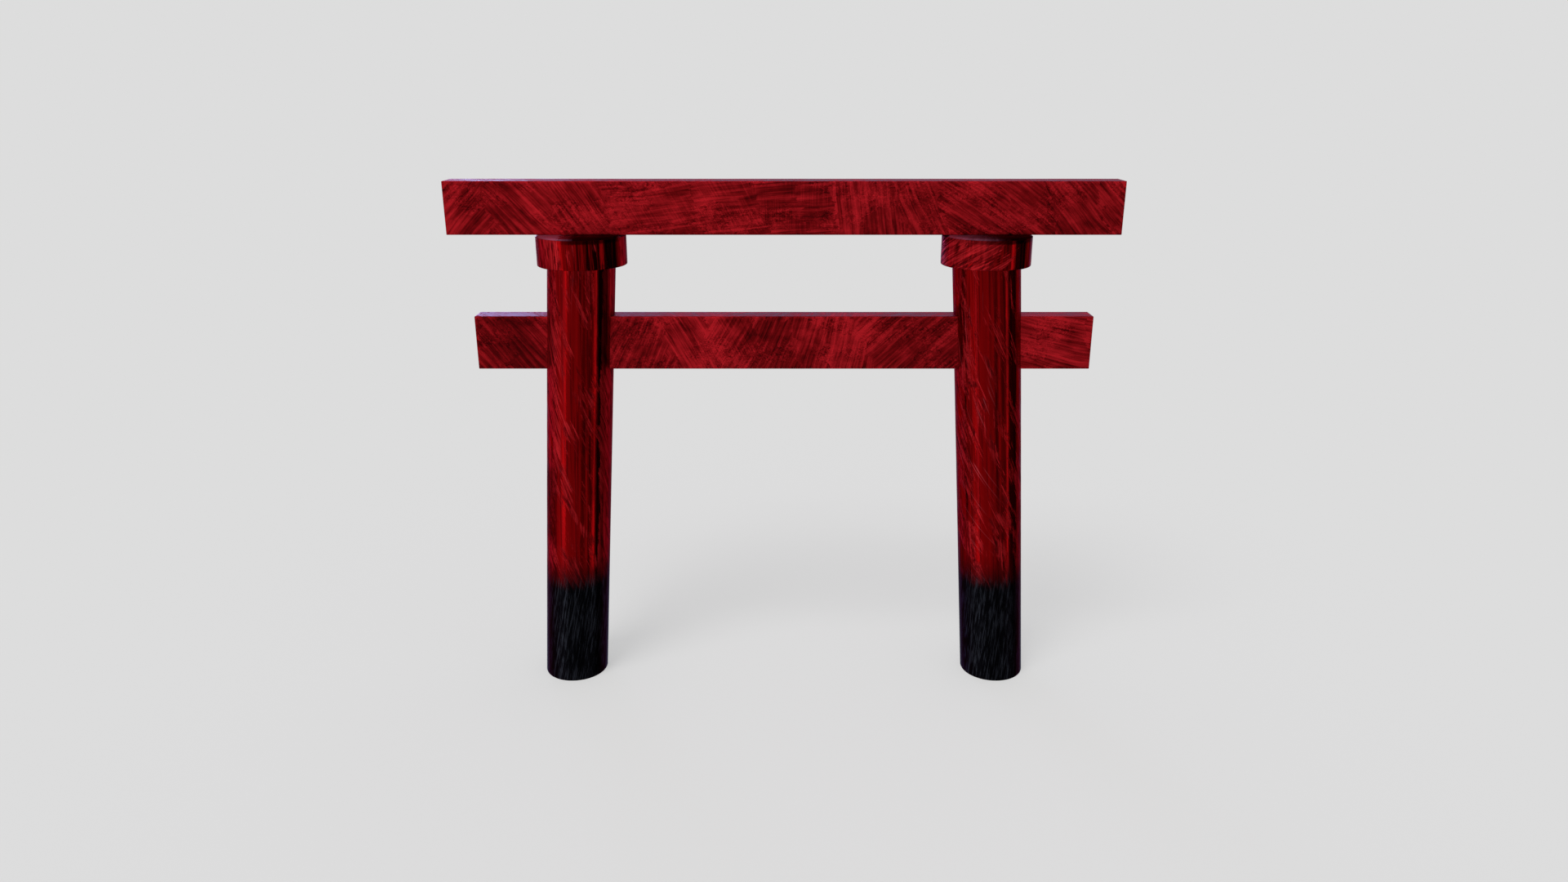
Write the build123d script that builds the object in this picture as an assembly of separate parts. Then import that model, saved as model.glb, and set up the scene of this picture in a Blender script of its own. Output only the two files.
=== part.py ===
from build123d import *

import os
from math import cos, radians, tan

# A plain timber torii gate: two round posts that lean in, a round capital on each, a square-edged
# lintel across the capitals and a square-edged tie beam that runs through both posts.
# The frame has +Z up, +X along the lintel and the front towards -Y. The origin is on the ground,
# midway between the posts. Lengths are in millimetres and angles in degrees.

# Posts: round logs, cut level at the foot and at the shoulder under the capital
post_diameter = 480.0
post_spacing = 3310.0  # between the two post axes, at the ground
post_lean = 4.0  # from vertical, towards the passage
post_height = 3215.0  # from the ground to the shoulder

# Capitals: one thick round block on each post
capital_overhang = 75.0  # how far it stands out past the post, all round
capital_height = 215.0
capital_bevel_out = 22.0  # the bevel round its top edge, measured across
capital_bevel_down = 14.0  # the same bevel, measured downwards
capital_arris = 4.0  # the eased edge round its underside

# Lintel: the top timber, resting on both capitals
lintel_overhang = 912.5  # past the middle of each capital
lintel_height = 364.0
lintel_depth = 200.0
lintel_arris = 5.0  # eased edges all round

# Tie beam: the lower timber, through both posts
tie_drop = 359.0  # from the posts' shoulders down to its top
tie_overhang = 731.0  # past each post's axis, at half the beam's height
tie_height = 384.0
tie_depth = 168.0
tie_arris = 4.0  # eased edges all round

# Tenons: the upright tongue left on each post, through the capital and into the lintel
tenon_width = 160.0
tenon_thickness = 90.0
tenon_reach = 220.0  # into the lintel

# Fits: the room left round each timber where another holds it
tenon_clearance = 0.5  # on each side of the tenon
tenon_end_gap = 5.0  # between the tenon's top and the end of its hole
mortise_clearance = 0.8  # over the tie beam and on each side of it

post_radius = post_diameter / 2
capital_radius = post_radius + capital_overhang
lintel_underside = post_height + capital_height
lintel_top = lintel_underside + lintel_height
tie_top = post_height - tie_drop
tie_underside = tie_top - tie_height  # the clear height of the passage
tenon_top = lintel_underside + tenon_reach


def post_axis_x(height):
    """How far a post's axis is from the middle of the gate, at a height above the ground."""
    return post_spacing / 2 - height * tan(radians(post_lean))


capital_x = post_axis_x(post_height + capital_height / 2)
tie_joint_x = post_axis_x(tie_underside + tie_height / 2)
lintel_length = 2 * (capital_x + lintel_overhang)
tie_length = 2 * (tie_joint_x + tie_overhang)

on_its_base = (Align.CENTER, Align.CENTER, Align.MIN)


def upright_block(x, width, depth, low, high):
    """A level block on the gate's middle plane, centred at x, between two heights."""
    return Pos(x, 0, low) * Box(width, depth, high - low, align=on_its_base)


def make_log():
    """The right post's leaning log, cut level at the ground and at the shoulder."""
    foot_x = post_axis_x(0)
    spare = post_diameter  # left at both ends for the level cuts
    log = Cylinder(post_radius, post_height / cos(radians(post_lean)) + 2 * spare, align=on_its_base)
    leaning = Pos(foot_x, 0, 0) * Rot(0, -post_lean, 0) * Pos(0, 0, -spare) * log
    between_cuts = upright_block(0, 2 * (foot_x + spare), 2 * spare, 0, post_height)
    return leaning & between_cuts


def make_tenon(clearance, top):
    """The right post's upright tenon or, with a clearance, the hole that takes it."""
    width = tenon_width + 2 * clearance
    thickness = tenon_thickness + 2 * clearance
    return upright_block(capital_x, width, thickness, post_height, top)


def make_mortise():
    """The space through the right post that takes the tie beam."""
    depth = tie_depth + 2 * mortise_clearance
    return upright_block(tie_joint_x, 2 * post_diameter, depth, tie_underside, tie_top + mortise_clearance)


def make_post():
    """The right post: its log and tenon, with the mortise for the tie beam cut through."""
    return make_log() + make_tenon(0, tenon_top) - make_mortise()


def make_capital():
    """The right capital: a round block with a bevelled top edge and a hole for the tenon."""
    block = Pos(capital_x, 0, post_height) * Cylinder(capital_radius, capital_height, align=on_its_base)
    top_face = block.faces().sort_by(Axis.Z)[-1]
    block = chamfer(top_face.edges(), capital_bevel_out, capital_bevel_down, reference=top_face)
    underside = block.faces().sort_by(Axis.Z)[0]
    block = chamfer(underside.edges(), capital_arris)
    return block - make_tenon(tenon_clearance, lintel_underside)


def make_lintel():
    """The top timber, with a blind hole in its underside for each tenon."""
    timber = upright_block(0, lintel_length, lintel_depth, lintel_underside, lintel_top)
    hole = make_tenon(tenon_clearance, tenon_top + tenon_end_gap)
    return chamfer(timber.edges(), lintel_arris) - hole - mirror(hole, about=Plane.YZ)


def make_tie_beam():
    """The timber that runs through both posts."""
    timber = upright_block(0, tie_length, tie_depth, tie_underside, tie_top)
    return chamfer(timber.edges(), tie_arris)


def write_solid(name, shape):
    """Write a shape that is one solid to its file."""
    (solid,) = shape.solids()
    export_step(solid, f"parts/{name}.step")


os.makedirs("parts", exist_ok=True)
write_solid("top_lintel", make_lintel())
write_solid("tie_beam", make_tie_beam())
for piece, shape in {"post": make_post(), "capital": make_capital()}.items():
    write_solid(f"right_{piece}", shape)
    write_solid(f"left_{piece}", mirror(shape, about=Plane.YZ))
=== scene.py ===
"""The looks of a painted timber torii gate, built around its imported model.

Each CAD timber is replaced by a finished one in the same place: hand-planed, with eased edges and
the same joints cut in it, under brushed red lacquer. Lengths are in metres, angles in degrees.
"""

import math
from itertools import product
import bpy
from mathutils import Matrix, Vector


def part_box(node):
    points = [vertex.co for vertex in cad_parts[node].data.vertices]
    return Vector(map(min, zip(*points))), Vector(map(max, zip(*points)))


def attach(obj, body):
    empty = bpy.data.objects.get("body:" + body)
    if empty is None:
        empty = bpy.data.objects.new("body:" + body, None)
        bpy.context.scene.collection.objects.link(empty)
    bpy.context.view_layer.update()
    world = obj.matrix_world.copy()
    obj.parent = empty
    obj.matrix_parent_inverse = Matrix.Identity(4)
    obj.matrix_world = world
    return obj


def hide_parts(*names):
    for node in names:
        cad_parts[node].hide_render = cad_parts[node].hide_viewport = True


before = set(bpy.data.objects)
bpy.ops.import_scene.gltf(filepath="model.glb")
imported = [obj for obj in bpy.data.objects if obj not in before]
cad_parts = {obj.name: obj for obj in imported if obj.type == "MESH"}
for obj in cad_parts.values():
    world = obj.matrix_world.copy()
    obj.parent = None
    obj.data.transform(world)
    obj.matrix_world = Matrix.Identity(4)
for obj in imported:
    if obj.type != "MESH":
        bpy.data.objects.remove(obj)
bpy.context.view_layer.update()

from types import SimpleNamespace
from typing import NamedTuple

import bmesh
import bpy
from mathutils import Vector, noise


class Grain(NamedTuple):
    """The noise of one kind of paint mark: its size, its place in the noise and how it shows."""

    length: float
    width: float
    seed: float = 0.0
    detail: float = 3.0
    roughness: float = 0.5
    distortion: float = 0.0
    levels: tuple = (0.0, 1.0)  # from which level of the noise on it shows, and from which in full
    strength: float = 1.0


class StainOrPaintedLight(NamedTuple):
    """A patch of another colour on a round timber: a stain, a painted dark reflection or highlight.
    """

    sides: tuple  # the x of its left and right from the timber's axis, as shares of its radius
    heights: tuple  # of its lower and upper edge
    color: tuple
    strength: float
    streaky: float = 0.0  # how much of it comes in streaks


class Timber(NamedTuple):
    """A round timber's place, and how its lacquer looks."""

    node: str
    centre: float  # x of its axis at the ground
    lean: float  # x that the axis gains per metre of height
    radius: float
    look: tuple
    tilt: float  # of its angled strokes, to the left of upright
    seed: float
    scratched: float  # how much its scratches show
    stains_and_painted_light: tuple
    top: float = 0.0  # the height of a capital's top, or 0 for a post


HALF_TURN = 180

# The camera stands in front of the gate and looks a little down on it
CAMERA_PLACE = (0.0, -7.532, 4.413)
CAMERA_TARGET = (0.0, 0.0, 1.896)
CAMERA_LENS = 24.45  # in millimetres, as the sensor is
SENSOR_WIDTH = 36.0
FAR_CLIP = 500.0
LAMP_DISTANCE = 10.0

# Grey levels, linear
BACKDROP_GREY = 0.723
FLOOR_GREY = 0.80
CEILING_GREY = 0.42

# The floor keeps the gate's shadow, and turns into plain backdrop between two distances
FLOOR_RADIUS = 150.0
FLOOR_SIDES = 96
FLOOR_FADE = (3.0, 9.0)
PLAIN_SHARE = 0.6  # how much of the plain backdrop there is in the floor near the gate

# What the gloss shows below the horizon: its brightness by the turn from the camera's side towards
# the right. There is a strip light on each side, and a black card beside the right one.
STUDIO = (
    (-180, 0.36), (-150, 0.56), (-115, 0.74), (-92, 0.52), (-70, 0.66), (-53, 0.92),
    (-50, 1.85), (-45, 1.85), (-41, 0.62), (-30, 0.55), (-13, 0.42), (-6, 0.62),
    (0, 0.36), (8, 0.38), (12, 0.60), (16, 0.20), (23, 0.14), (28, 0.44),
    (34, 0.60), (39, 0.26), (47, 0.18), (56, 0.30), (58, 1.30), (64, 1.30),
    (67, 0.30), (74, 0.02), (105, 0.02), (112, 0.56), (150, 0.52), (180, 0.36),
)
VIOLET = (1.0, 0.87, 0.96)  # the tint of the wall on the left and behind
TEAL = (0.60, 1.15, 1.45)  # its tint near the ground
WHITE = (1.0, 1.0, 1.0)  # no tint, elsewhere
LEFT_WALL = (-92, -125)  # from which turn on, and from which in full
BACK_WALL = (118, 150)
WALL_FOOT = (-0.40, -0.46)  # likewise, by how steeply a direction rises: 1 is straight up
HORIZON = (-0.07, -0.035)
CEILING = (0.35, 0.8)

# Paint colours, linear
DARK_RED = (0.066, 0.0014, 0.0024)
FULL_RED = (0.215, 0.0042, 0.0062)
BRIGHT_RED = (0.560, 0.0150, 0.0230)
GLOSS_RED = (0.235, 0.0016, 0.0024)
WORN_RED = (0.450, 0.0140, 0.0190)
CAPITAL_RED = (0.560, 0.0170, 0.0240)
# The red of scratches, and of painted highlights streaked over a capital's edge
SCRATCH_AND_HIGHLIGHT_RED = (0.420, 0.0500, 0.0650)
# The black of painted dark reflections, and of painted shade on a capital under the lintel
PAINTED_SHADE_BLACK = (0.016, 0.0002, 0.0003)
# A painted highlight on a capital's bevel and top
PAINTED_BEVEL_HIGHLIGHT = (0.420, 0.1300, 0.2200)
FOOT_BLACK = (0.002, 0.002, 0.003)
FOOT_SHEEN = (0.021, 0.023, 0.031)
FLAT_EDGE_TINT = (0.76, 0.64, 0.90)  # of a flat timber's paint, at a glancing angle
ROUND_EDGE_TINT = (0.54, 0.38, 0.46)
METAL = 0.97  # the lacquer is nearly as mirror-like as metal
SPECULAR = 0.1

# The surfaces of the timbers
GRID = 0.016  # about how far apart a timber's grid lines are
LOG_SIDES = 168
POST_ARRIS = 0.006
CAPITAL_ARRIS = 0.004
CAPITAL_BEVEL = (0.022, 0.014)  # across and down
BEVEL_STEPS = 4
STEEP_FROM = 0.4  # the eased edge under a capital turns steep at this share of its height
STEEP_SLOPE = 0.5  # how far out it runs from there for each metre up
BEAM_ARRIS = 0.005
ARRIS_LINE = 0.3  # where an eased edge has one more grid line, as a share of its width
EDGE_WEAR = 0.0015  # the most that is worn off a beam's edge
WORN_SPOTS = 14.0  # how many worn spots fit in a metre of it
SHARP_ANGLE = 38  # an edge sharper than this isn't shaded smooth
MORTISE_GAP = 0.0008
TENON_GAP = 0.0005
TENON_END_GAP = 0.005
TENON_ROOT = 0.05  # how far a tenon starts inside its log
OVERCUT = 0.01  # how far a cut runs past the face that it opens
SAME_HEIGHT = 1e-4  # corners that differ by less than this are level
NO_PART = 0.01  # a direction's part along an axis counts as none up to here

# What the plane leaves on them: long narrow flats round a log, slow hollows and short ripples
PLANED_FLATS = 22
FLAT_DEPTH = 0.0004
CAPITAL_FLAT_DEPTH = 0.4 * FLAT_DEPTH
FLAT_SWAY = 0.6  # how far the flats wander round the log
SWAY_RATE = 0.7  # how fast they do so, along it
WAVE_DEPTH = 0.0010
WAVES = (2.3, 5.0)  # how many fit in a metre along and across a timber
RIPPLES = (9.0, 22.0)
WAVE_SHARES = (0.5, 0.35, 0.15)  # an even part of the depth, the waves' and the ripples'
WAVE_RADIUS = 0.3  # every round timber has the waves of one with this radius
BEAM_WAVE_SEED = 4.0

# A beam's front as brushed patches from left to right: from which x on, how steeply its broad
# strokes and its bristle lines rise to the right, and how bright it is there
LINTEL_PATCHES = (
    (-2.35, 47, 47, 0.54), (-2.02, 134, 134, 0.40), (-1.57, 122, 122, 0.64), (-1.23, 6, 120, 0.62),
    (-0.62, 5, 118, 0.64), (-0.17, 4, 91, 0.62), (0.12, 4, 91, 0.42), (0.34, 97, 96, 0.66),
    (0.79, 116, 112, 0.58), (1.07, 147, 147, 0.52), (1.51, 145, 140, 0.66), (1.80, 133, 134, 0.42),
    (2.20, 133, 134, 0.56),
)
TIE_PATCHES = (
    (-2.20, 130, 130, 0.46), (-2.00, 130, 130, 0.14), (-1.45, 62, 62, 0.56), (-1.02, 66, 64, 0.40),
    (-0.86, 118, 116, 0.66), (-0.52, 58, 118, 0.84), (-0.17, 66, 66, 0.44), (0.08, 74, 72, 0.46),
    (0.30, 80, 76, 0.96), (0.56, 42, 42, 0.74), (0.98, 40, 40, 0.34), (1.45, 168, 170, 0.70),
    (2.20, 168, 170, 0.76),
)
REACH = 3.0  # more than half of a beam
PATCH_LEAN = 0.3  # how far the patches' borders lean to the left, per metre of height
STROKE_DRIFT = 3.0  # over how many metres along a beam its strokes change

# The marks of the brush on the beams, and what bends them and moves the patches' borders
SWEEP = Grain(0.60, 0.032, 11.7, detail=4.0, roughness=0.6, levels=(0.42, 0.58), strength=0.32)
SMEAR = Grain(0.30, 0.046, 2.6, detail=4.0, distortion=0.5, levels=(0.38, 0.62), strength=0.40)
BRISTLE = Grain(0.60, 0.0105, 5.3, detail=2.0, levels=(0.40, 0.60), strength=0.30)
DARK_LINE = Grain(0.50, 0.013, 21.3, detail=2.0, roughness=0.6, levels=(0.54, 0.61), strength=0.28)
PALE_LINE = DARK_LINE._replace(levels=(0.44, 0.37), strength=0.20)
PRESSED = Grain(0.20, 0.14, 14.9, levels=(0.40, 0.56))  # where the bristles were pressed down
LIFTED = PRESSED._replace(levels=(0.64, 0.44))
CLOUD = Grain(0.20, 0.13, 8.9, detail=6.0, roughness=0.6, strength=1.8)
SPECKLE = Grain(0.034, 0.026, 31.1, detail=4.0, roughness=0.6, distortion=0.9, levels=(0.47, 0.37),
                strength=0.38)
CURL = Grain(0.050, 0.040, 18.8, detail=2.0, distortion=1.4, levels=(0.05, 0.01), strength=0.40)
SPOTTED = Grain(0.33, 0.22, 44.2, levels=(0.46, 0.56))  # where there are speckles and curls
WANDER = Grain(0.14, 0.10, 3.1, detail=5.0, roughness=0.6, strength=0.42)
BEND = Grain(0.40, 0.30, 6.6, detail=0.0, strength=0.07)

# A beam's paint
TONE_LIFT = 0.06
CONTRAST = 0.58  # of its marks, where its tone is black
TONE_CONTRAST = 0.5  # what their contrast gains with the tone
BEAM_REDS = ((0.0, DARK_RED), (0.5, FULL_RED), (1.3, BRIGHT_RED))
BEAM_TONES = (0.1, 0.9)  # the tones of the smoothest and the roughest paint
BEAM_ROUGHNESS = 0.36
BEAM_ROUGHNESS_GAIN = 0.20
BRUSH_DEPTH = 0.0008
FACING = (0.6, 0.8)  # how squarely an end or a top faces its way, to get strokes of its own
BACK_FACE = (0.04, 0.06)  # from which y on the patches are the back's
BACK_SHIFT = 0.9  # how far those are moved along the beam

# The marks on the round timbers' lacquer: strokes along the timber, unless their tilt says more
UPRIGHT = Grain(0.40, 0.009)
ANGLED = Grain(0.26, 0.010)
ANGLED_AREA = Grain(0.60, 0.21, detail=1.0, levels=(0.45, 0.52))
BLOTCH = Grain(0.13, 0.035, detail=4.0, levels=(0.50, 0.60), strength=0.16)
WORN_AREA = Grain(0.34, 0.085, detail=6.0, levels=(0.48, 0.60))
STREAK = Grain(1.10, 0.024, detail=2.5, levels=(0.47, 0.60), strength=0.60)
# Painted dark reflections, as black streaks along a round timber
PAINTED_DARK_STREAK = Grain(0.60, 0.016, detail=2.5, levels=(0.53, 0.59))
SCRATCH = Grain(0.60, 0.011, detail=1.0, levels=(0.62, 0.72))
SCRATCH_AREA = Grain(0.30, 0.16, detail=1.0, levels=(0.46, 0.56))
PITS = Grain(0.032, 0.024, distortion=1.2, levels=(0.40, 0.56), strength=0.16)
LUMP = Grain(0.070, 0.045, detail=4.0, strength=0.65)
DRY = Grain(0.16, 0.009, levels=(0.46, 0.70))  # dry brush marks on the black foot
LAP = Grain(0.10, 0.012, strength=0.6)  # the ragged edge of the paint's lap at the back
STROKE_ROUGHNESS = 0.6  # of the noise of the strokes on round timbers
STROKE_DEPTH = 0.3  # over how many metres from front to back the strokes change
LAYER_GAP = 10.0  # keeps marks of different widths apart in the noise
UPRIGHT_TILT = 2
STREAK_TILT = 1
DRY_TILT = -8
BLOTCH_TILT = 0.6  # as a share of the angled strokes'
WORN_TILT = 0.8
COIL_TURN = 1.6  # how fast the scratches wind round a timber at the ground
COIL_EASE = 0.27  # and how that slows down with the height
COIL_SEED = 4.4
SCRATCHED_SIDE = (0.3, -0.1)  # from which x on, by x from the axis as a share of the radius
PITTED_SIDE = (-0.35, -0.55)

# A round timber's paint: how far its marks move the edges of the worn areas and change their red
# The dark streaks here are painted dark reflections
DARKER_PAINTED_STREAKS = 0.15  # how much wider the dark streaks are where they are darkest
WORN_BY_BRISTLE = 0.40
WORN_BY_BLOTCH = 0.25
RED_BY_STREAK = 0.3
PIT_LEVEL = 0.6  # where the pits leave the red as it is
WORN_LEVELS = (0.27, 0.44, 0.65)  # where its worn areas are dark, full and bright red
GLOSS_ROUGHNESS = 0.11
WORN_ROUGHNESS_GAIN = 0.34
SCRATCH_ROUGHNESS_GAIN = 0.30
BRISTLE_RELIEF = 0.12
WORN_RELIEF = 0.6
PIT_RELIEF = 0.5
LACQUER_DEPTH = 0.0010
# A stain here is any patch of another colour, painted dark reflections and highlights too
RAGGED = 0.3  # how far the marks fray a stain's lower edge
RAGGED_SIDES = 0.4  # how far they fray its sides, as a share of that
STAIN_OR_LIGHT_SOFT = 0.04  # half the width of its soft edges
STAIN_OR_LIGHT_STREAKS = (0.46, 0.56)

# A post's black foot
FOOT_EDGE = (1.09, 0.77)  # the heights between which the red turns black
FOOT_FRAY = 0.12
FOOT_ROUGHNESS = 0.34
DRY_BY_BLOTCH = 0.4
DRY_FOOT = (0.5, 1.0)

# A capital's painted shade under the lintel and painted highlight and shade on its bevel and top,
# by the depth below its top
PAINTED_SHADE_EDGE = (0.046, 0.030)
PAINTED_SHADE_FRAY = 0.020
PAINTED_SHADE_BY_DARKNESS = (0.1, 0.6)
PAINTED_SHADE_STRENGTH = 0.9
PAINTED_BEVEL_EDGE = (0.014, 0.011)
BEVEL_SHADE_BY_DARKNESS = 1.4
BEVEL_SHADE_BY_BLOTCH = 0.6
BEVEL_SHADE_LEVELS = (0.0, 0.9)

# A round timber's lacquer by x from its axis as a share of its radius: how much rougher than
# elsewhere it is worn, and how dark its painted dark reflections are; on a capital the same share
# sets the painted shade below its top and on its bevel
LEFT_POST_LOOK = (
    (-1.00, 0.13, 0.0), (-0.62, 0.12, 0.0), (-0.52, -0.04, 0.0), (-0.40, -0.07, 0.0),
    (-0.28, -0.03, 0.1), (0.00, -0.06, 0.4), (0.50, -0.04, 0.5), (0.62, -0.14, 0.5),
    (0.70, -0.10, 0.5), (0.77, 0.20, 0.1), (1.00, 0.34, 0.0),
)
RIGHT_POST_LOOK = (
    (-1.00, 0.05, 0.0), (-0.75, 0.03, 0.5), (-0.50, -0.02, 0.4), (-0.30, -0.07, 0.0),
    (0.00, -0.02, 0.2), (0.30, 0.00, 0.4), (0.66, -0.07, 0.3), (0.78, 0.07, 0.1),
    (1.00, 0.10, 0.0),
)
LEFT_CAPITAL_LOOK = (
    (-1.00, 0.10, 0.0), (-0.80, 0.20, 0.0), (-0.45, 0.20, 0.0), (-0.25, -0.04, 0.3),
    (0.10, -0.10, 0.7), (0.36, -0.10, 1.0), (0.80, -0.12, 1.0), (0.90, 0.04, 0.3),
    (1.00, 0.08, 0.0),
)
RIGHT_CAPITAL_LOOK = (
    (-1.00, 0.04, 0.5), (-0.88, 0.20, 0.2), (-0.25, 0.20, 0.4), (0.06, 0.01, 0.5),
    (0.50, -0.06, 0.7), (0.80, -0.06, 0.9), (1.00, 0.04, 0.6),
)
POST_TILT = 24
CAPITAL_SCRATCHED = 0.1

# The first two are painted dark reflections; the third is a streaky patch of brighter red
LEFT_POST_STAINS_AND_SHADE = (
    StainOrPaintedLight((0.60, 0.88), (2.50, 3.50), PAINTED_SHADE_BLACK, strength=0.80),
    StainOrPaintedLight((-1.10, -0.54), (1.14, 1.76), PAINTED_SHADE_BLACK, strength=0.46),
    StainOrPaintedLight((-1.10, -0.40), (1.76, 2.85), CAPITAL_RED, strength=0.55, streaky=1.0),
)
# Painted dark reflections on the right of the left capital
LEFT_CAPITAL_PAINTED_SHADE = (
    StainOrPaintedLight((0.45, 0.90), (3.00, 4.00), PAINTED_SHADE_BLACK, strength=0.50),
)
# A painted dark reflection at the right capital's left edge, with painted highlights streaked over
# it
RIGHT_CAPITAL_PAINTED_EDGE_LIGHT = (
    StainOrPaintedLight((-1.10, -0.93), (3.00, 4.00), PAINTED_SHADE_BLACK, strength=0.80),
    StainOrPaintedLight((-1.10, -0.93), (3.00, 4.00), SCRATCH_AND_HIGHLIGHT_RED, strength=0.90, streaky=1.0),
)


class Field:
    """A number or colour that varies over a surface, and takes plain arithmetic."""

    def __init__(self, tree, socket):
        self.tree = tree
        self.socket = socket

    def math(self, operation, *others):
        """The result of one of the shader's operations on this number and others."""
        node = self.tree.nodes.new("ShaderNodeMath")
        node.operation = operation
        for target, value in zip(node.inputs, (self, *others)):
            connect(self.tree, value, target)
        return Field(self.tree, node.outputs[0])

    def __add__(self, other):
        return self.math("ADD", other)

    def __sub__(self, other):
        return self.math("SUBTRACT", other)

    def __mul__(self, other):
        return self.math("MULTIPLY", other)

    def __truediv__(self, other):
        return self.math("DIVIDE", other)

    def between(self, low, high, soft=True):
        """0 up to low and 1 from high on; low may be the larger."""
        node = self.tree.nodes.new("ShaderNodeMapRange")
        node.interpolation_type = "SMOOTHSTEP" if soft else "LINEAR"
        connect(self.tree, self, node.inputs["Value"])
        node.inputs["From Min"].default_value = low
        node.inputs["From Max"].default_value = high
        return Field(self.tree, node.outputs["Result"])

    def blend(self, other, share):
        """This number where share is 0 and the other where it is 1."""
        node = self.tree.nodes.new("ShaderNodeMix")
        for name, value in (("Factor", share), ("A", self), ("B", other)):
            connect(self.tree, value, node.inputs[name])
        return Field(self.tree, node.outputs["Result"])


def connect(tree, value, target):
    """Feeds a shader input with a field, a number or a colour."""
    if isinstance(value, Field):
        tree.links.new(value.socket, target)
    elif isinstance(value, tuple):
        target.default_value = (*value, 1.0)
    else:
        target.default_value = value


class Paint:
    """The shader of a material or world, with a short call for each thing that it is made of."""

    def __init__(self, owner):
        self.owner = owner
        owner.use_nodes = True
        self.tree = owner.node_tree
        self.tree.nodes.clear()

    def node(self, kind, **feeds):
        """A new shader node; each feed is named after its input, with _ for a space."""
        node = self.tree.nodes.new(f"ShaderNode{kind}")
        for name, value in feeds.items():
            connect(self.tree, value, node.inputs[name.replace("_", " ")])
        return node

    def field(self, node, output=0):
        """One output of a shader node, by its place or name."""
        return Field(self.tree, node.outputs[output])

    def coordinates(self, source="Object"):
        """The three coordinates of a surface point, or with Normal of the way it faces."""
        place = self.field(self.node("TexCoord"), source)
        split = self.node("SeparateXYZ", Vector=place)
        return [self.field(split, axis) for axis in range(3)]

    def noise(self, x, y, z, detail=3.0, roughness=0.5, distortion=0.0):
        """Smooth noise about 0.5, with features about one unit of x, y and z across."""
        place = self.field(self.node("CombineXYZ", X=x, Y=y, Z=z))
        node = self.node("TexNoise", Vector=place, Scale=1.0, Detail=detail, Roughness=roughness,
                         Distortion=distortion)
        return self.field(node)

    def grain(self, along, across, grain, layer=0.0):
        """The noise of a paint mark, by the distances along and across it."""
        return self.noise(along / grain.length, across / grain.width, layer + grain.seed,
                          grain.detail, grain.roughness, grain.distortion)

    def ramp(self, value, stops, interpolation="LINEAR"):
        """A curve through (value, result) stops, whose results are numbers or colours."""
        low, high = stops[0][0], stops[-1][0]
        node = self.node("ValToRGB", Fac=value.between(low, high, soft=False))
        node.color_ramp.interpolation = interpolation
        marks = node.color_ramp.elements
        while len(marks) < len(stops):
            marks.new(0.5)
        for mark, (place, result) in zip(marks, stops):
            mark.position = (place - low) / (high - low)
            color = result if isinstance(result, tuple) else (result,) * 3
            mark.color = (*color, 1.0)
        return self.field(node)

    def mix_color(self, first, second, share):
        """The first colour where share is 0 and the second where it is 1."""
        node = self.tree.nodes.new("ShaderNodeMix")
        node.data_type = "RGBA"
        # This node's sockets for colours come after those for numbers and vectors
        for socket, value in ((0, share), (6, first), (7, second)):
            connect(self.tree, value, node.inputs[socket])
        return self.field(node, 2)

    def lacquer(self, color, roughness, relief, depth, edge_tint):
        """A lacquered surface whose relief stands depth metres proud at 1."""
        bump = self.node("Bump", Height=relief, Distance=depth)
        shader = self.node("BsdfPrincipled", Base_Color=color, Roughness=roughness, Metallic=METAL,
                           Specular_IOR_Level=SPECULAR, Specular_Tint=edge_tint,
                           Normal=self.field(bump))
        self.node("OutputMaterial", Surface=self.field(shader))
        return self.owner


def turned(run, rise, angle):
    """The distances along and across a brush stroke that slopes by an angle in half turns."""
    cosine = (angle * math.pi).math("COSINE")
    sine = (angle * math.pi).math("SINE")
    return run * cosine + rise * sine, rise * cosine - run * sine


def patch_fields(paint, run, rise, patches):
    """The slopes and the tone of a flat face's patches, and how far into its patch a point is."""
    wander = (paint.grain(run, rise, WANDER) - 0.5) * WANDER.strength
    where = run + rise * PATCH_LEAN + wander
    starts, broad, fine, tones = zip(*patches)
    ends = starts[1:] + starts[-1:]
    middles = [((start + end) / 2 + REACH) / (2 * REACH) for start, end in zip(starts, ends)]

    def by_patch(values):
        return paint.ramp(where, list(zip(starts, values)), "CONSTANT")

    broad_slope = by_patch([slope / HALF_TURN for slope in broad])
    fine_slope = by_patch([slope / HALF_TURN for slope in fine])
    tone = paint.ramp(where, list(zip(starts, tones)), "EASE")
    near = run + REACH - by_patch(middles) * (2 * REACH)
    return broad_slope, fine_slope, tone, near


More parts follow.
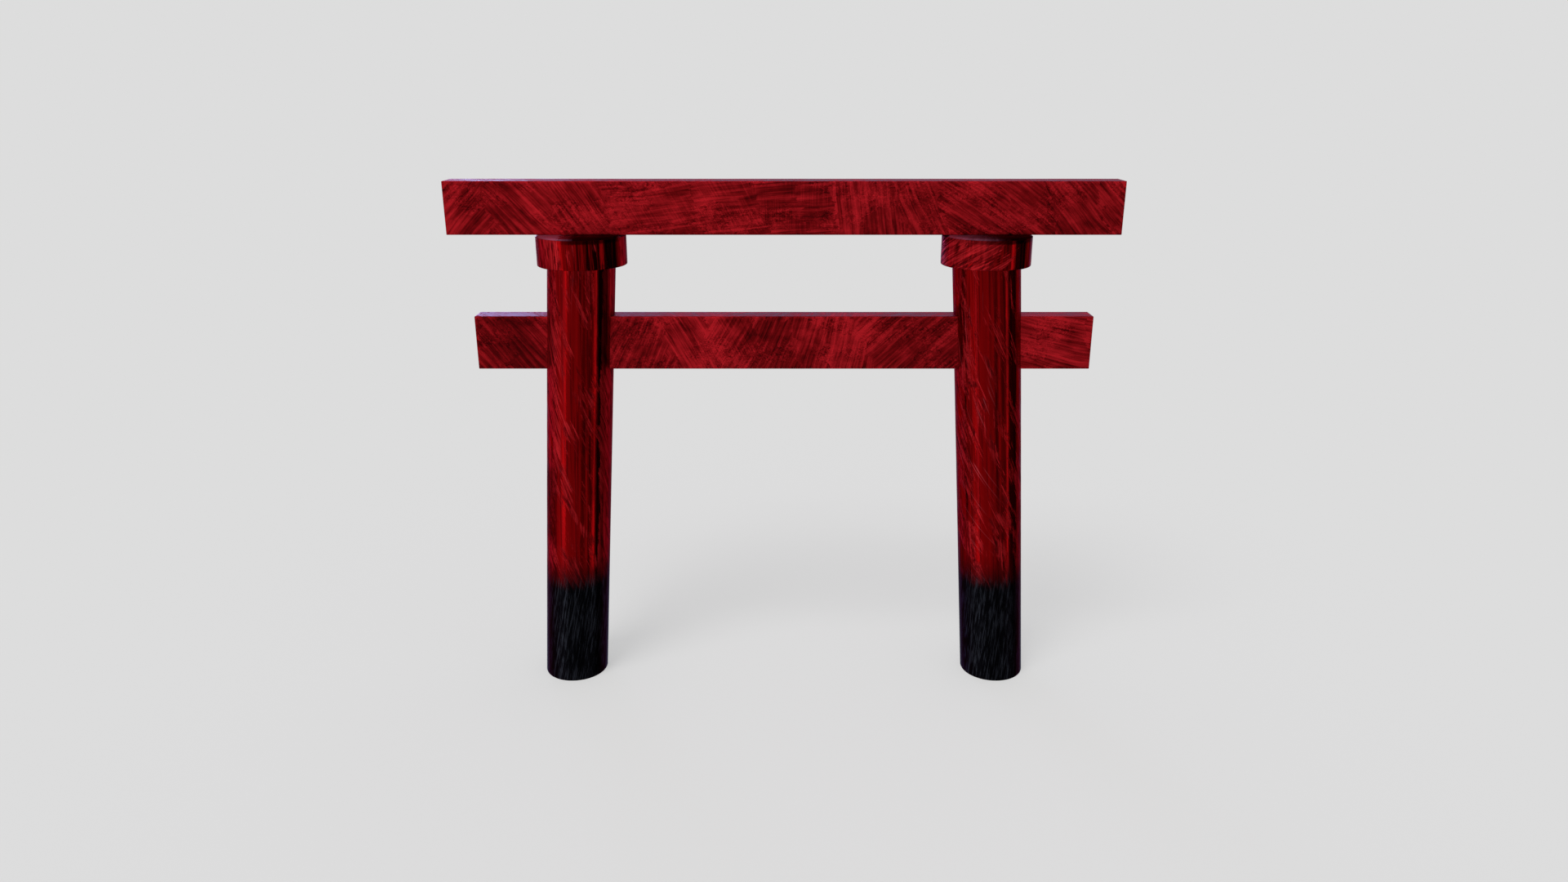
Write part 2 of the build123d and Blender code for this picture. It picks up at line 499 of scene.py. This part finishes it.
def brushed(paint, run, rise, patches):
    """Brush strokes laid in patches on a flat face: 0 where dark, 1 where bright."""
    broad_slope, fine_slope, tone, near = patch_fields(paint, run, rise, patches)
    bend = (paint.grain(run, rise, BEND) - 0.5) * BEND.strength
    drift = run / STROKE_DRIFT
    along, across = turned(near, rise, broad_slope + bend)
    sweep = paint.grain(along, across, SWEEP, drift)
    line = paint.grain(along, across, DARK_LINE, drift)
    smear = paint.grain(along, across, SMEAR, drift)
    along, across = turned(near, rise, fine_slope + bend)
    bristle = paint.grain(along, across, BRISTLE, drift).between(*BRISTLE.levels, soft=False)
    press = paint.grain(run, rise, PRESSED)
    cloud = paint.grain(run, rise, CLOUD)
    speckle = paint.grain(run, rise, SPECKLE)
    spotted = paint.grain(run, rise, SPOTTED).between(*SPOTTED.levels)
    curl = (paint.grain(run, rise, CURL) - 0.5).math("ABSOLUTE")

    pressed = press.between(*PRESSED.levels)
    lifted = press.between(*LIFTED.levels)
    detail = (sweep.between(*SWEEP.levels) - 0.5) * SWEEP.strength
    detail = detail + (cloud - 0.5) * CLOUD.strength
    detail = detail + (smear.between(*SMEAR.levels) - 0.5) * SMEAR.strength
    detail = detail + (bristle - 0.5) * pressed * BRISTLE.strength
    detail = detail - line.between(*DARK_LINE.levels) * lifted * DARK_LINE.strength
    detail = detail + line.between(*PALE_LINE.levels) * PALE_LINE.strength
    detail = detail - speckle.between(*SPECKLE.levels) * spotted * SPECKLE.strength
    detail = detail + curl.between(*CURL.levels) * spotted * CURL.strength
    return tone + TONE_LIFT + detail * (tone * TONE_CONTRAST + CONTRAST)


def beam_paint(name, patches, middle):
    """Red paint brushed in patches over a square timber whose middle is at this height."""
    paint = Paint(bpy.data.materials.new(name))
    x, y, z = paint.coordinates()
    facing_x, _, facing_z = (part.math("ABSOLUTE") for part in paint.coordinates("Normal"))
    run = (x + y.between(*BACK_FACE) * BACK_SHIFT).blend(y, facing_x.between(*FACING))
    rise = (z - middle).blend(y, facing_z.between(*FACING))
    value = brushed(paint, run, rise, patches)
    color = paint.ramp(value, BEAM_REDS)
    roughness = value.between(*BEAM_TONES) * BEAM_ROUGHNESS_GAIN + BEAM_ROUGHNESS
    return paint.lacquer(color, roughness, value, BRUSH_DEPTH, FLAT_EDGE_TINT)


def angle_round(paint, x, y, z, seed):
    """The angle round a timber from its front, up to the ragged edge of a paint lap at its back."""
    lap = (paint.grain(z, z, LAP, seed) - 0.5) * LAP.strength
    cosine = lap.math("COSINE")
    sine = lap.math("SINE")
    return (x * cosine + y * sine).math("ARCTAN2", x * sine - y * cosine) + lap


def strokes(paint, place, tilt, grain):
    """Strokes round a timber, tipped to the left of upright by an angle."""
    around, back, z, seed = place
    angle = math.radians(tilt)
    along = z * math.cos(angle) - around * math.sin(angle)
    across = around * math.cos(angle) + z * math.sin(angle)
    layer = along / grain.length + seed + LAYER_GAP * grain.width
    return paint.noise(across / grain.width, back, layer, detail=grain.detail,
                       roughness=STROKE_ROUGHNESS)


def round_marks(paint, timber):
    """The marks on a round timber's lacquer, and where each point is on it."""
    x, y, z = paint.coordinates()
    x = (x - z * timber.lean - timber.centre) / timber.radius
    around = angle_round(paint, x, y / timber.radius, z, timber.seed) * timber.radius
    back = y / STROKE_DEPTH
    place = (around, back, z, timber.seed)
    coil = (around + z * COIL_TURN - z * z * COIL_EASE, back, z, timber.seed + COIL_SEED)
    wear = paint.ramp(x, [(share, rougher + 0.5) for share, rougher, _ in timber.look]) - 0.5
    # How dark the painted dark reflections are, by x; a capital's painted shade follows this too
    painted_darkness = paint.ramp(x, [(share, dark) for share, _, dark in timber.look])

    upright = strokes(paint, place, UPRIGHT_TILT, UPRIGHT)
    angled = strokes(paint, place, timber.tilt, ANGLED)
    sloped = strokes(paint, place, 0, ANGLED_AREA).between(*ANGLED_AREA.levels)
    bristle = upright.blend(angled, sloped)
    blotch = strokes(paint, place, timber.tilt * BLOTCH_TILT, BLOTCH)
    worn = strokes(paint, place, timber.tilt * WORN_TILT, WORN_AREA) + wear
    worn = worn + (bristle - 0.5) * WORN_BY_BRISTLE + (blotch - 0.5) * WORN_BY_BLOTCH
    streak = strokes(paint, place, STREAK_TILT, STREAK)
    # Painted dark reflections: black streaks, wider where the look's third column is higher
    painted_dark_streak = strokes(paint, place, STREAK_TILT, PAINTED_DARK_STREAK)
    painted_dark_streak = painted_dark_streak + (painted_darkness - 0.5) * DARKER_PAINTED_STREAKS
    scratch = strokes(paint, coil, 0, SCRATCH).between(*SCRATCH.levels)
    scratch = scratch * strokes(paint, coil, 0, SCRATCH_AREA).between(*SCRATCH_AREA.levels)
    pits = paint.noise(around / PITS.width, y / PITS.width, z / PITS.length + timber.seed,
                       detail=PITS.detail, distortion=PITS.distortion)
    return SimpleNamespace(
        x=x,
        z=z,
        place=place,
        painted_darkness=painted_darkness,
        bristle=bristle,
        blotch=blotch,
        worn=worn.between(*WORN_AREA.levels),
        streak=streak,
        painted_dark_streak=painted_dark_streak.between(*PAINTED_DARK_STREAK.levels) * painted_darkness,
        scratch=scratch * x.between(*SCRATCHED_SIDE) * timber.scratched,
        pits=pits,
        pitted=x.between(*PITTED_SIDE),
        lump=strokes(paint, place, 0, LUMP),
    )


def lacquer_color(paint, marks, is_capital):
    """The reds of glossy lacquer and its worn areas: streaks, painted dark reflections, pits,
    scratches.
    """
    streaks = marks.streak.between(*STREAK.levels) * STREAK.strength
    gloss = paint.mix_color(GLOSS_RED, DARK_RED, streaks)
    # Painted dark reflections over the gloss
    gloss = paint.mix_color(gloss, PAINTED_SHADE_BLACK, marks.painted_dark_streak)
    brush = marks.bristle + (marks.streak - 0.5) * RED_BY_STREAK
    brush = brush - marks.blotch.between(*BLOTCH.levels) * BLOTCH.strength
    if not is_capital:
        pitting = (marks.pits.between(*PITS.levels) - PIT_LEVEL) * marks.pitted
        brush = brush + pitting * PITS.strength
    brightest = CAPITAL_RED if is_capital else WORN_RED
    worn_red = paint.ramp(brush, list(zip(WORN_LEVELS, (DARK_RED, FULL_RED, brightest))))
    color = paint.mix_color(gloss, worn_red, marks.worn)
    return paint.mix_color(color, SCRATCH_AND_HIGHLIGHT_RED, marks.scratch)


def add_stain_or_painted_light(paint, color, marks, stain_or_painted_light):
    """A round timber's colour with a stain, a painted dark reflection or a painted highlight over
    it.
    """
    (left, right), (low, high) = stain_or_painted_light.sides, stain_or_painted_light.heights
    ragged = (marks.bristle - 0.5) * RAGGED + (marks.blotch - 0.5) * RAGGED
    x = marks.x + ragged * RAGGED_SIDES
    across = x.between(left - STAIN_OR_LIGHT_SOFT, left + STAIN_OR_LIGHT_SOFT)
    across = across * x.between(right + STAIN_OR_LIGHT_SOFT, right - STAIN_OR_LIGHT_SOFT)
    upward = (marks.z + ragged).between(low - STAIN_OR_LIGHT_SOFT, low + STAIN_OR_LIGHT_SOFT)
    upward = upward * marks.z.between(high + STAIN_OR_LIGHT_SOFT, high - STAIN_OR_LIGHT_SOFT)
    streaks = marks.bristle.between(*STAIN_OR_LIGHT_STREAKS) * stain_or_painted_light.streaky + (1 - stain_or_painted_light.streaky)
    return paint.mix_color(color, stain_or_painted_light.color, across * upward * streaks * stain_or_painted_light.strength)


def capital_top(paint, color, marks, top):
    """A capital's colour, with painted shade below its top and painted light and shade on its
    bevel.
    """
    height = marks.z + (marks.bristle - 0.5) * PAINTED_SHADE_FRAY
    # Painted shade below the capital's top, where the lintel shades it
    painted_shade = height.between(*(top - depth for depth in PAINTED_SHADE_EDGE))
    painted_shade = painted_shade * marks.painted_darkness.between(*PAINTED_SHADE_BY_DARKNESS)
    color = paint.mix_color(color, PAINTED_SHADE_BLACK, painted_shade * PAINTED_SHADE_STRENGTH)
    # Painted highlight on the bevel and top where the look is light, painted shade where it is dark
    bevel_shade = marks.painted_darkness * BEVEL_SHADE_BY_DARKNESS + (marks.blotch - 0.5) * BEVEL_SHADE_BY_BLOTCH
    painted_bevel = paint.mix_color(PAINTED_BEVEL_HIGHLIGHT, PAINTED_SHADE_BLACK, bevel_shade.between(*BEVEL_SHADE_LEVELS))
    return paint.mix_color(color, painted_bevel, marks.z.between(*(top - depth for depth in PAINTED_BEVEL_EDGE)))


def foot_share(marks):
    """How much of a post's paint is its foot's."""
    height = marks.z + (marks.bristle - 0.5) * FOOT_FRAY + (marks.blotch - 0.5) * FOOT_FRAY
    return height.between(*FOOT_EDGE)


def foot_color(paint, marks, foot):
    """Black with a few dry brush marks."""
    dry = strokes(paint, marks.place, DRY_TILT, DRY) + (marks.blotch - 0.5) * DRY_BY_BLOTCH
    sheen = dry.between(*DRY.levels) * foot.between(*DRY_FOOT)
    return paint.mix_color(FOOT_BLACK, FOOT_SHEEN, sheen)


def round_paint(timber):
    """Glossy lacquer on a round timber, worn rough in places.

    A capital has painted shade below its top and a painted highlight on its bevel,
    and a post is black at its foot.
    """
    paint = Paint(bpy.data.materials.new(f"{timber.node}_lacquer"))
    marks = round_marks(paint, timber)
    color = lacquer_color(paint, marks, timber.top > 0)
    # Stains, painted dark reflections and painted highlights
    for stain_or_painted_light in timber.stains_and_painted_light:
        color = add_stain_or_painted_light(paint, color, marks, stain_or_painted_light)
    roughness = marks.worn * WORN_ROUGHNESS_GAIN + GLOSS_ROUGHNESS
    roughness = roughness + marks.scratch * SCRATCH_ROUGHNESS_GAIN
    relief = marks.lump * LUMP.strength
    relief = relief + marks.bristle * (marks.worn * WORN_RELIEF + BRISTLE_RELIEF)
    relief = relief + marks.pits * marks.pitted * PIT_RELIEF
    if timber.top:
        color = capital_top(paint, color, marks, timber.top)
    else:
        foot = foot_share(marks)
        color = paint.mix_color(color, foot_color(paint, marks, foot), foot)
        roughness = roughness.blend(FOOT_ROUGHNESS, foot)
    return paint.lacquer(color, roughness, relief, LACQUER_DEPTH, ROUND_EDGE_TINT)


def link(name, mesh):
    """A new object from a bmesh."""
    data = bpy.data.meshes.new(name)
    mesh.normal_update()
    mesh.to_mesh(data)
    mesh.free()
    piece = bpy.data.objects.new(name, data)
    bpy.context.scene.collection.objects.link(piece)
    return piece


def grid_lines(low, high, arris):
    """Grid lines from low to high, closer together over the eased edges."""
    inner = high - low - 2 * arris
    count = max(2, round(inner / GRID))
    middle = [low + arris + inner * i / count for i in range(count + 1)]
    return [low, low + ARRIS_LINE * arris, *middle, high - ARRIS_LINE * arris, high]


def hollow(point, seed):
    """How deep a timber's surface lies under its true face at a point, by waves and ripples."""
    along, across = WAVES
    wave = noise.noise((point.x * along + seed, point.y * across, point.z * across))
    along, across = RIPPLES
    ripple = noise.noise((point.x * along, point.y * across + seed, point.z * across))
    even, by_wave, by_ripple = WAVE_SHARES
    return WAVE_DEPTH * (even + by_wave * wave + by_ripple * ripple)


def eased(place, inner_low, inner_high):
    """Where a point of a beam's sharp block ends up on its eased, worn and planed surface.

    The two corners are those of the block that is left inside all the eased edges.
    """
    inner = Vector(min(max(place[axis], inner_low[axis]), inner_high[axis]) for axis in range(3))
    outward = (place - inner).normalized()
    on_edge = sum(abs(part) > NO_PART for part in outward) > 1
    wear = EDGE_WEAR * max(0.0, noise.noise(place * WORN_SPOTS)) if on_edge else 0.0
    return inner + outward * (BEAM_ARRIS - hollow(place, BEAM_WAVE_SEED) - wear)


def square_timber(name, low, high):
    """A square timber between two corners, with eased and slightly worn edges."""
    lines = [grid_lines(low[axis], high[axis], BEAM_ARRIS) for axis in range(3)]
    inner_low = low + Vector((BEAM_ARRIS,) * 3)
    inner_high = high - Vector((BEAM_ARRIS,) * 3)
    mesh = bmesh.new()
    corners = {}

    def corner(index):
        if index not in corners:
            place = Vector(lines[axis][index[axis]] for axis in range(3))
            corners[index] = mesh.verts.new(eased(place, inner_low, inner_high))
        return corners[index]

    for axis in range(3):
        across, upward = (axis + 1) % 3, (axis + 2) % 3
        columns, rows = range(len(lines[across]) - 1), range(len(lines[upward]) - 1)
        for side in (0, len(lines[axis]) - 1):
            for column, row in product(columns, rows):
                quad = []
                for right, up in ((0, 0), (1, 0), (1, 1), (0, 1)):
                    index = [side] * 3
                    index[across] = column + right
                    index[upward] = row + up
                    quad.append(corner(tuple(index)))
                mesh.faces.new(quad if side else quad[::-1])
    return link(name, mesh)


def round_timber(name, rings, flat_depth):
    """A round timber through rings of (centre x, radius in X, radius in Y, height)."""
    mesh = bmesh.new()
    rows = []
    for centre, wide, deep, height in rings:
        row = []
        for side in range(LOG_SIDES):
            turn = 2 * math.pi * side / LOG_SIDES
            across, forward = math.sin(turn), -math.cos(turn)
            sway = FLAT_SWAY * noise.noise((across, forward, height * SWAY_RATE))
            ridge = abs(math.sin(turn * PLANED_FLATS / 2 + sway))
            point = Vector((height, across * WAVE_RADIUS, forward * WAVE_RADIUS))
            cut = flat_depth * (1 - ridge) + hollow(point, centre)
            place = (centre + (wide - cut) * across, (deep - cut) * forward, height)
            row.append(mesh.verts.new(place))
        rows.append(row)
    for lower, upper in zip(rows, rows[1:]):
        for side in range(LOG_SIDES):
            after = (side + 1) % LOG_SIDES
            mesh.faces.new((lower[side], lower[after], upper[after], upper[side]))
    mesh.faces.new(rows[0][::-1])
    mesh.faces.new(rows[-1])
    return link(name, mesh)


def join_box(piece, operation, low, high):
    """Cuts a box out of a timber, or adds one to it."""
    mesh = bmesh.new()
    bmesh.ops.create_cube(mesh, size=1.0)
    for vertex in mesh.verts:
        for axis in range(3):
            vertex.co[axis] = high[axis] if vertex.co[axis] > 0 else low[axis]
    tool = link("joinery", mesh)
    modifier = piece.modifiers.new("joinery", "BOOLEAN")
    modifier.operation = operation
    modifier.object = tool
    modifier.solver = "EXACT"
    graph = bpy.context.evaluated_depsgraph_get()
    result = bpy.data.meshes.new_from_object(piece.evaluated_get(graph))
    piece.modifiers.clear()
    piece.data = result
    bpy.data.objects.remove(tool)


def section(node, height):
    """Lowest and highest x and y of a CAD node's corners at a height."""
    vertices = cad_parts[node].data.vertices
    corners = [vertex.co for vertex in vertices if abs(vertex.co.z - height) < SAME_HEIGHT]
    xs = [corner.x for corner in corners]
    ys = [corner.y for corner in corners]
    return min(xs), max(xs), min(ys), max(ys)


def tenon_hole(side, low_z, high_z):
    """Corners of the hole that takes a post's tenon, between two heights."""
    node = f"{side}_post"
    left, right, front, back = section(node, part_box(node)[1].z)
    low = Vector((left - TENON_GAP, front - TENON_GAP, low_z))
    return low, Vector((right + TENON_GAP, back + TENON_GAP, high_z))


def finish_piece(piece, node, material):
    """Gives a timber its paint and its place in the frame."""
    for polygon in piece.data.polygons:
        polygon.use_smooth = True
    piece.data.set_sharp_from_angle(angle=math.radians(SHARP_ANGLE))
    piece.data.materials.clear()
    piece.data.materials.append(material)
    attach(piece, "root")
    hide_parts(node)


def make_post(side, look, seed, scratched, stains_and_painted_light):
    """A leaning log with an eased foot, its tenon and the mortise for the tie beam."""
    node = f"{side}_post"
    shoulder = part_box(f"{side}_capital")[0].z
    left, right, _, deep = section(node, 0.0)
    foot_x = (left + right) / 2
    wide = (right - left) / 2
    left, right, _, _ = section(node, shoulder)
    lean = ((left + right) / 2 - foot_x) / shoulder
    rings = []
    for height in grid_lines(0.0, shoulder, POST_ARRIS):
        under = max(0.0, POST_ARRIS - height)
        ease = POST_ARRIS - math.sqrt(POST_ARRIS**2 - under**2)
        rings.append((foot_x + lean * height, wide - ease, deep - ease, height))
    piece = round_timber(f"{node}_timber", rings, FLAT_DEPTH)

    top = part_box(node)[1].z
    left, right, front, back = section(node, top)
    join_box(piece, "UNION", (left, front, shoulder - TENON_ROOT), (right, back, top))
    tie_low, tie_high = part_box("tie_beam")
    room = Vector((0, MORTISE_GAP, 0))
    headroom = Vector((0, 0, MORTISE_GAP))
    join_box(piece, "DIFFERENCE", tie_low - room, tie_high + room + headroom)
    timber = Timber(node, foot_x, lean, wide, look, POST_TILT, seed, scratched, stains_and_painted_light)
    finish_piece(piece, node, round_paint(timber))


def make_capital(side, look, tilt, seed, stains_and_painted_light):
    """A round block with a bevelled top edge, an eased one below and a hole for the tenon."""
    node = f"{side}_capital"
    low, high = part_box(node)
    centre = (low.x + high.x) / 2
    radius = (high.x - low.x) / 2
    out, down = CAPITAL_BEVEL
    bevel_z = high.z - down
    steep_z = low.z + STEEP_FROM * CAPITAL_ARRIS
    profile = [(radius - CAPITAL_ARRIS, low.z)]
    for height in grid_lines(steep_z, bevel_z, CAPITAL_ARRIS)[:-1]:
        under = max(0.0, CAPITAL_ARRIS - (height - low.z))
        profile.append((radius - STEEP_SLOPE * under, height))
    for step in range(BEVEL_STEPS + 1):
        share = step / BEVEL_STEPS
        profile.append((radius - out * share, bevel_z + down * share))
    rings = [(centre, reach, reach, height) for reach, height in profile]
    piece = round_timber(f"{node}_timber", rings, CAPITAL_FLAT_DEPTH)
    join_box(piece, "DIFFERENCE", *tenon_hole(side, low.z - OVERCUT, high.z + OVERCUT))
    timber = Timber(node, centre, 0.0, radius, look, tilt, seed, CAPITAL_SCRATCHED, stains_and_painted_light, high.z)
    finish_piece(piece, node, round_paint(timber))


def make_beam(node, patches, tenon_sides=()):
    """A square timber, with a blind hole in its underside for the post's tenon on each side."""
    low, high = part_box(node)
    piece = square_timber(f"{node}_timber", low, high)
    for side in tenon_sides:
        hole_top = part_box(f"{side}_post")[1].z + TENON_END_GAP
        join_box(piece, "DIFFERENCE", *tenon_hole(side, low.z - OVERCUT, hole_top))
    paint = beam_paint(f"{node}_paint", patches, (low.z + high.z) / 2)
    finish_piece(piece, node, paint)


def make_floor():
    """A pale floor that runs to the horizon and keeps the gate's soft shadow."""
    mesh = bmesh.new()
    bmesh.ops.create_circle(mesh, cap_ends=True, segments=FLOOR_SIDES, radius=FLOOR_RADIUS)
    floor = link("floor", mesh)
    paint = Paint(bpy.data.materials.new("floor"))
    x, y, _ = paint.coordinates()
    distance = (x * x + y * y).math("SQRT")
    surface = paint.field(paint.node("BsdfDiffuse", Color=(FLOOR_GREY,) * 3))
    plain = paint.field(paint.node("Emission", Color=(BACKDROP_GREY,) * 3))
    plain_share = distance.between(*FLOOR_FADE) * (1 - PLAIN_SHARE) + PLAIN_SHARE
    mix = paint.node("MixShader", Fac=plain_share)
    connect(paint.tree, surface, mix.inputs[1])
    connect(paint.tree, plain, mix.inputs[2])
    paint.node("OutputMaterial", Surface=paint.field(mix))
    floor.data.materials.append(paint.owner)
    floor.visible_glossy = False


def make_world():
    """Plain pale light above the horizon, and the studio's soft panels below it."""
    world = bpy.data.worlds.new("studio")
    bpy.context.scene.world = world
    paint = Paint(world)
    x, y, z = paint.coordinates("Generated")
    turn = x.math("ARCTAN2", y * -1.0) * (HALF_TURN / math.pi)
    above = z.between(*HORIZON)
    sky = z.between(*CEILING) * (CEILING_GREY - BACKDROP_GREY) + BACKDROP_GREY
    level = paint.ramp(turn, STUDIO).blend(sky, above)
    wall = paint.mix_color(VIOLET, TEAL, z.between(*WALL_FOOT))
    on_wall = turn.between(*LEFT_WALL).math("MAXIMUM", turn.between(*BACK_WALL))
    tint = paint.mix_color(WHITE, wall, on_wall * above.between(1, 0))
    background = paint.node("Background", Color=tint, Strength=level)
    paint.node("OutputWorld", Surface=paint.field(background))


def make_sun(name, turn, elevation, spread, strength, color):
    """A soft far lamp, at a turn from the camera's side towards the right."""
    lamp = bpy.data.lights.new(name, "SUN")
    lamp.angle = math.radians(spread)
    lamp.energy = strength
    lamp.color = color
    holder = bpy.data.objects.new(name, lamp)
    turn, elevation = math.radians(turn), math.radians(elevation)
    level = math.cos(elevation)
    toward = Vector((level * math.sin(turn), -level * math.cos(turn), math.sin(elevation)))
    holder.location = toward * LAMP_DISTANCE
    holder.rotation_euler = toward.to_track_quat("Z", "Y").to_euler()
    bpy.context.scene.collection.objects.link(holder)


def make_camera():
    """The camera that sees the gate as the photo does."""
    data = bpy.data.cameras.new("camera")
    data.lens = CAMERA_LENS
    data.sensor_width = SENSOR_WIDTH
    data.clip_end = FAR_CLIP
    camera = bpy.data.objects.new("camera", data)
    camera.location = CAMERA_PLACE
    toward = Vector(CAMERA_TARGET) - Vector(CAMERA_PLACE)
    camera.rotation_euler = toward.to_track_quat("-Z", "Y").to_euler()
    bpy.context.scene.collection.objects.link(camera)
    bpy.context.scene.camera = camera


make_camera()
bpy.context.scene.view_settings.view_transform = "Standard"
make_world()
make_floor()
make_sun("key", turn=-35, elevation=55, spread=30, strength=1.4, color=(1.0, 0.99, 0.98))
make_sun("rim", turn=-155, elevation=6, spread=26, strength=0.8, color=(0.58, 0.68, 1.0))

make_post("left", LEFT_POST_LOOK, seed=0.0, scratched=0.15, stains_and_painted_light=LEFT_POST_STAINS_AND_SHADE)
make_post("right", RIGHT_POST_LOOK, seed=31.0, scratched=0.5, stains_and_painted_light=())
make_capital("left", LEFT_CAPITAL_LOOK, tilt=8, seed=57.0, stains_and_painted_light=LEFT_CAPITAL_PAINTED_SHADE)
make_capital("right", RIGHT_CAPITAL_LOOK, tilt=-62, seed=83.0, stains_and_painted_light=RIGHT_CAPITAL_PAINTED_EDGE_LIGHT)
make_beam("top_lintel", LINTEL_PATCHES, tenon_sides=("left", "right"))
make_beam("tie_beam", TIE_PATCHES)
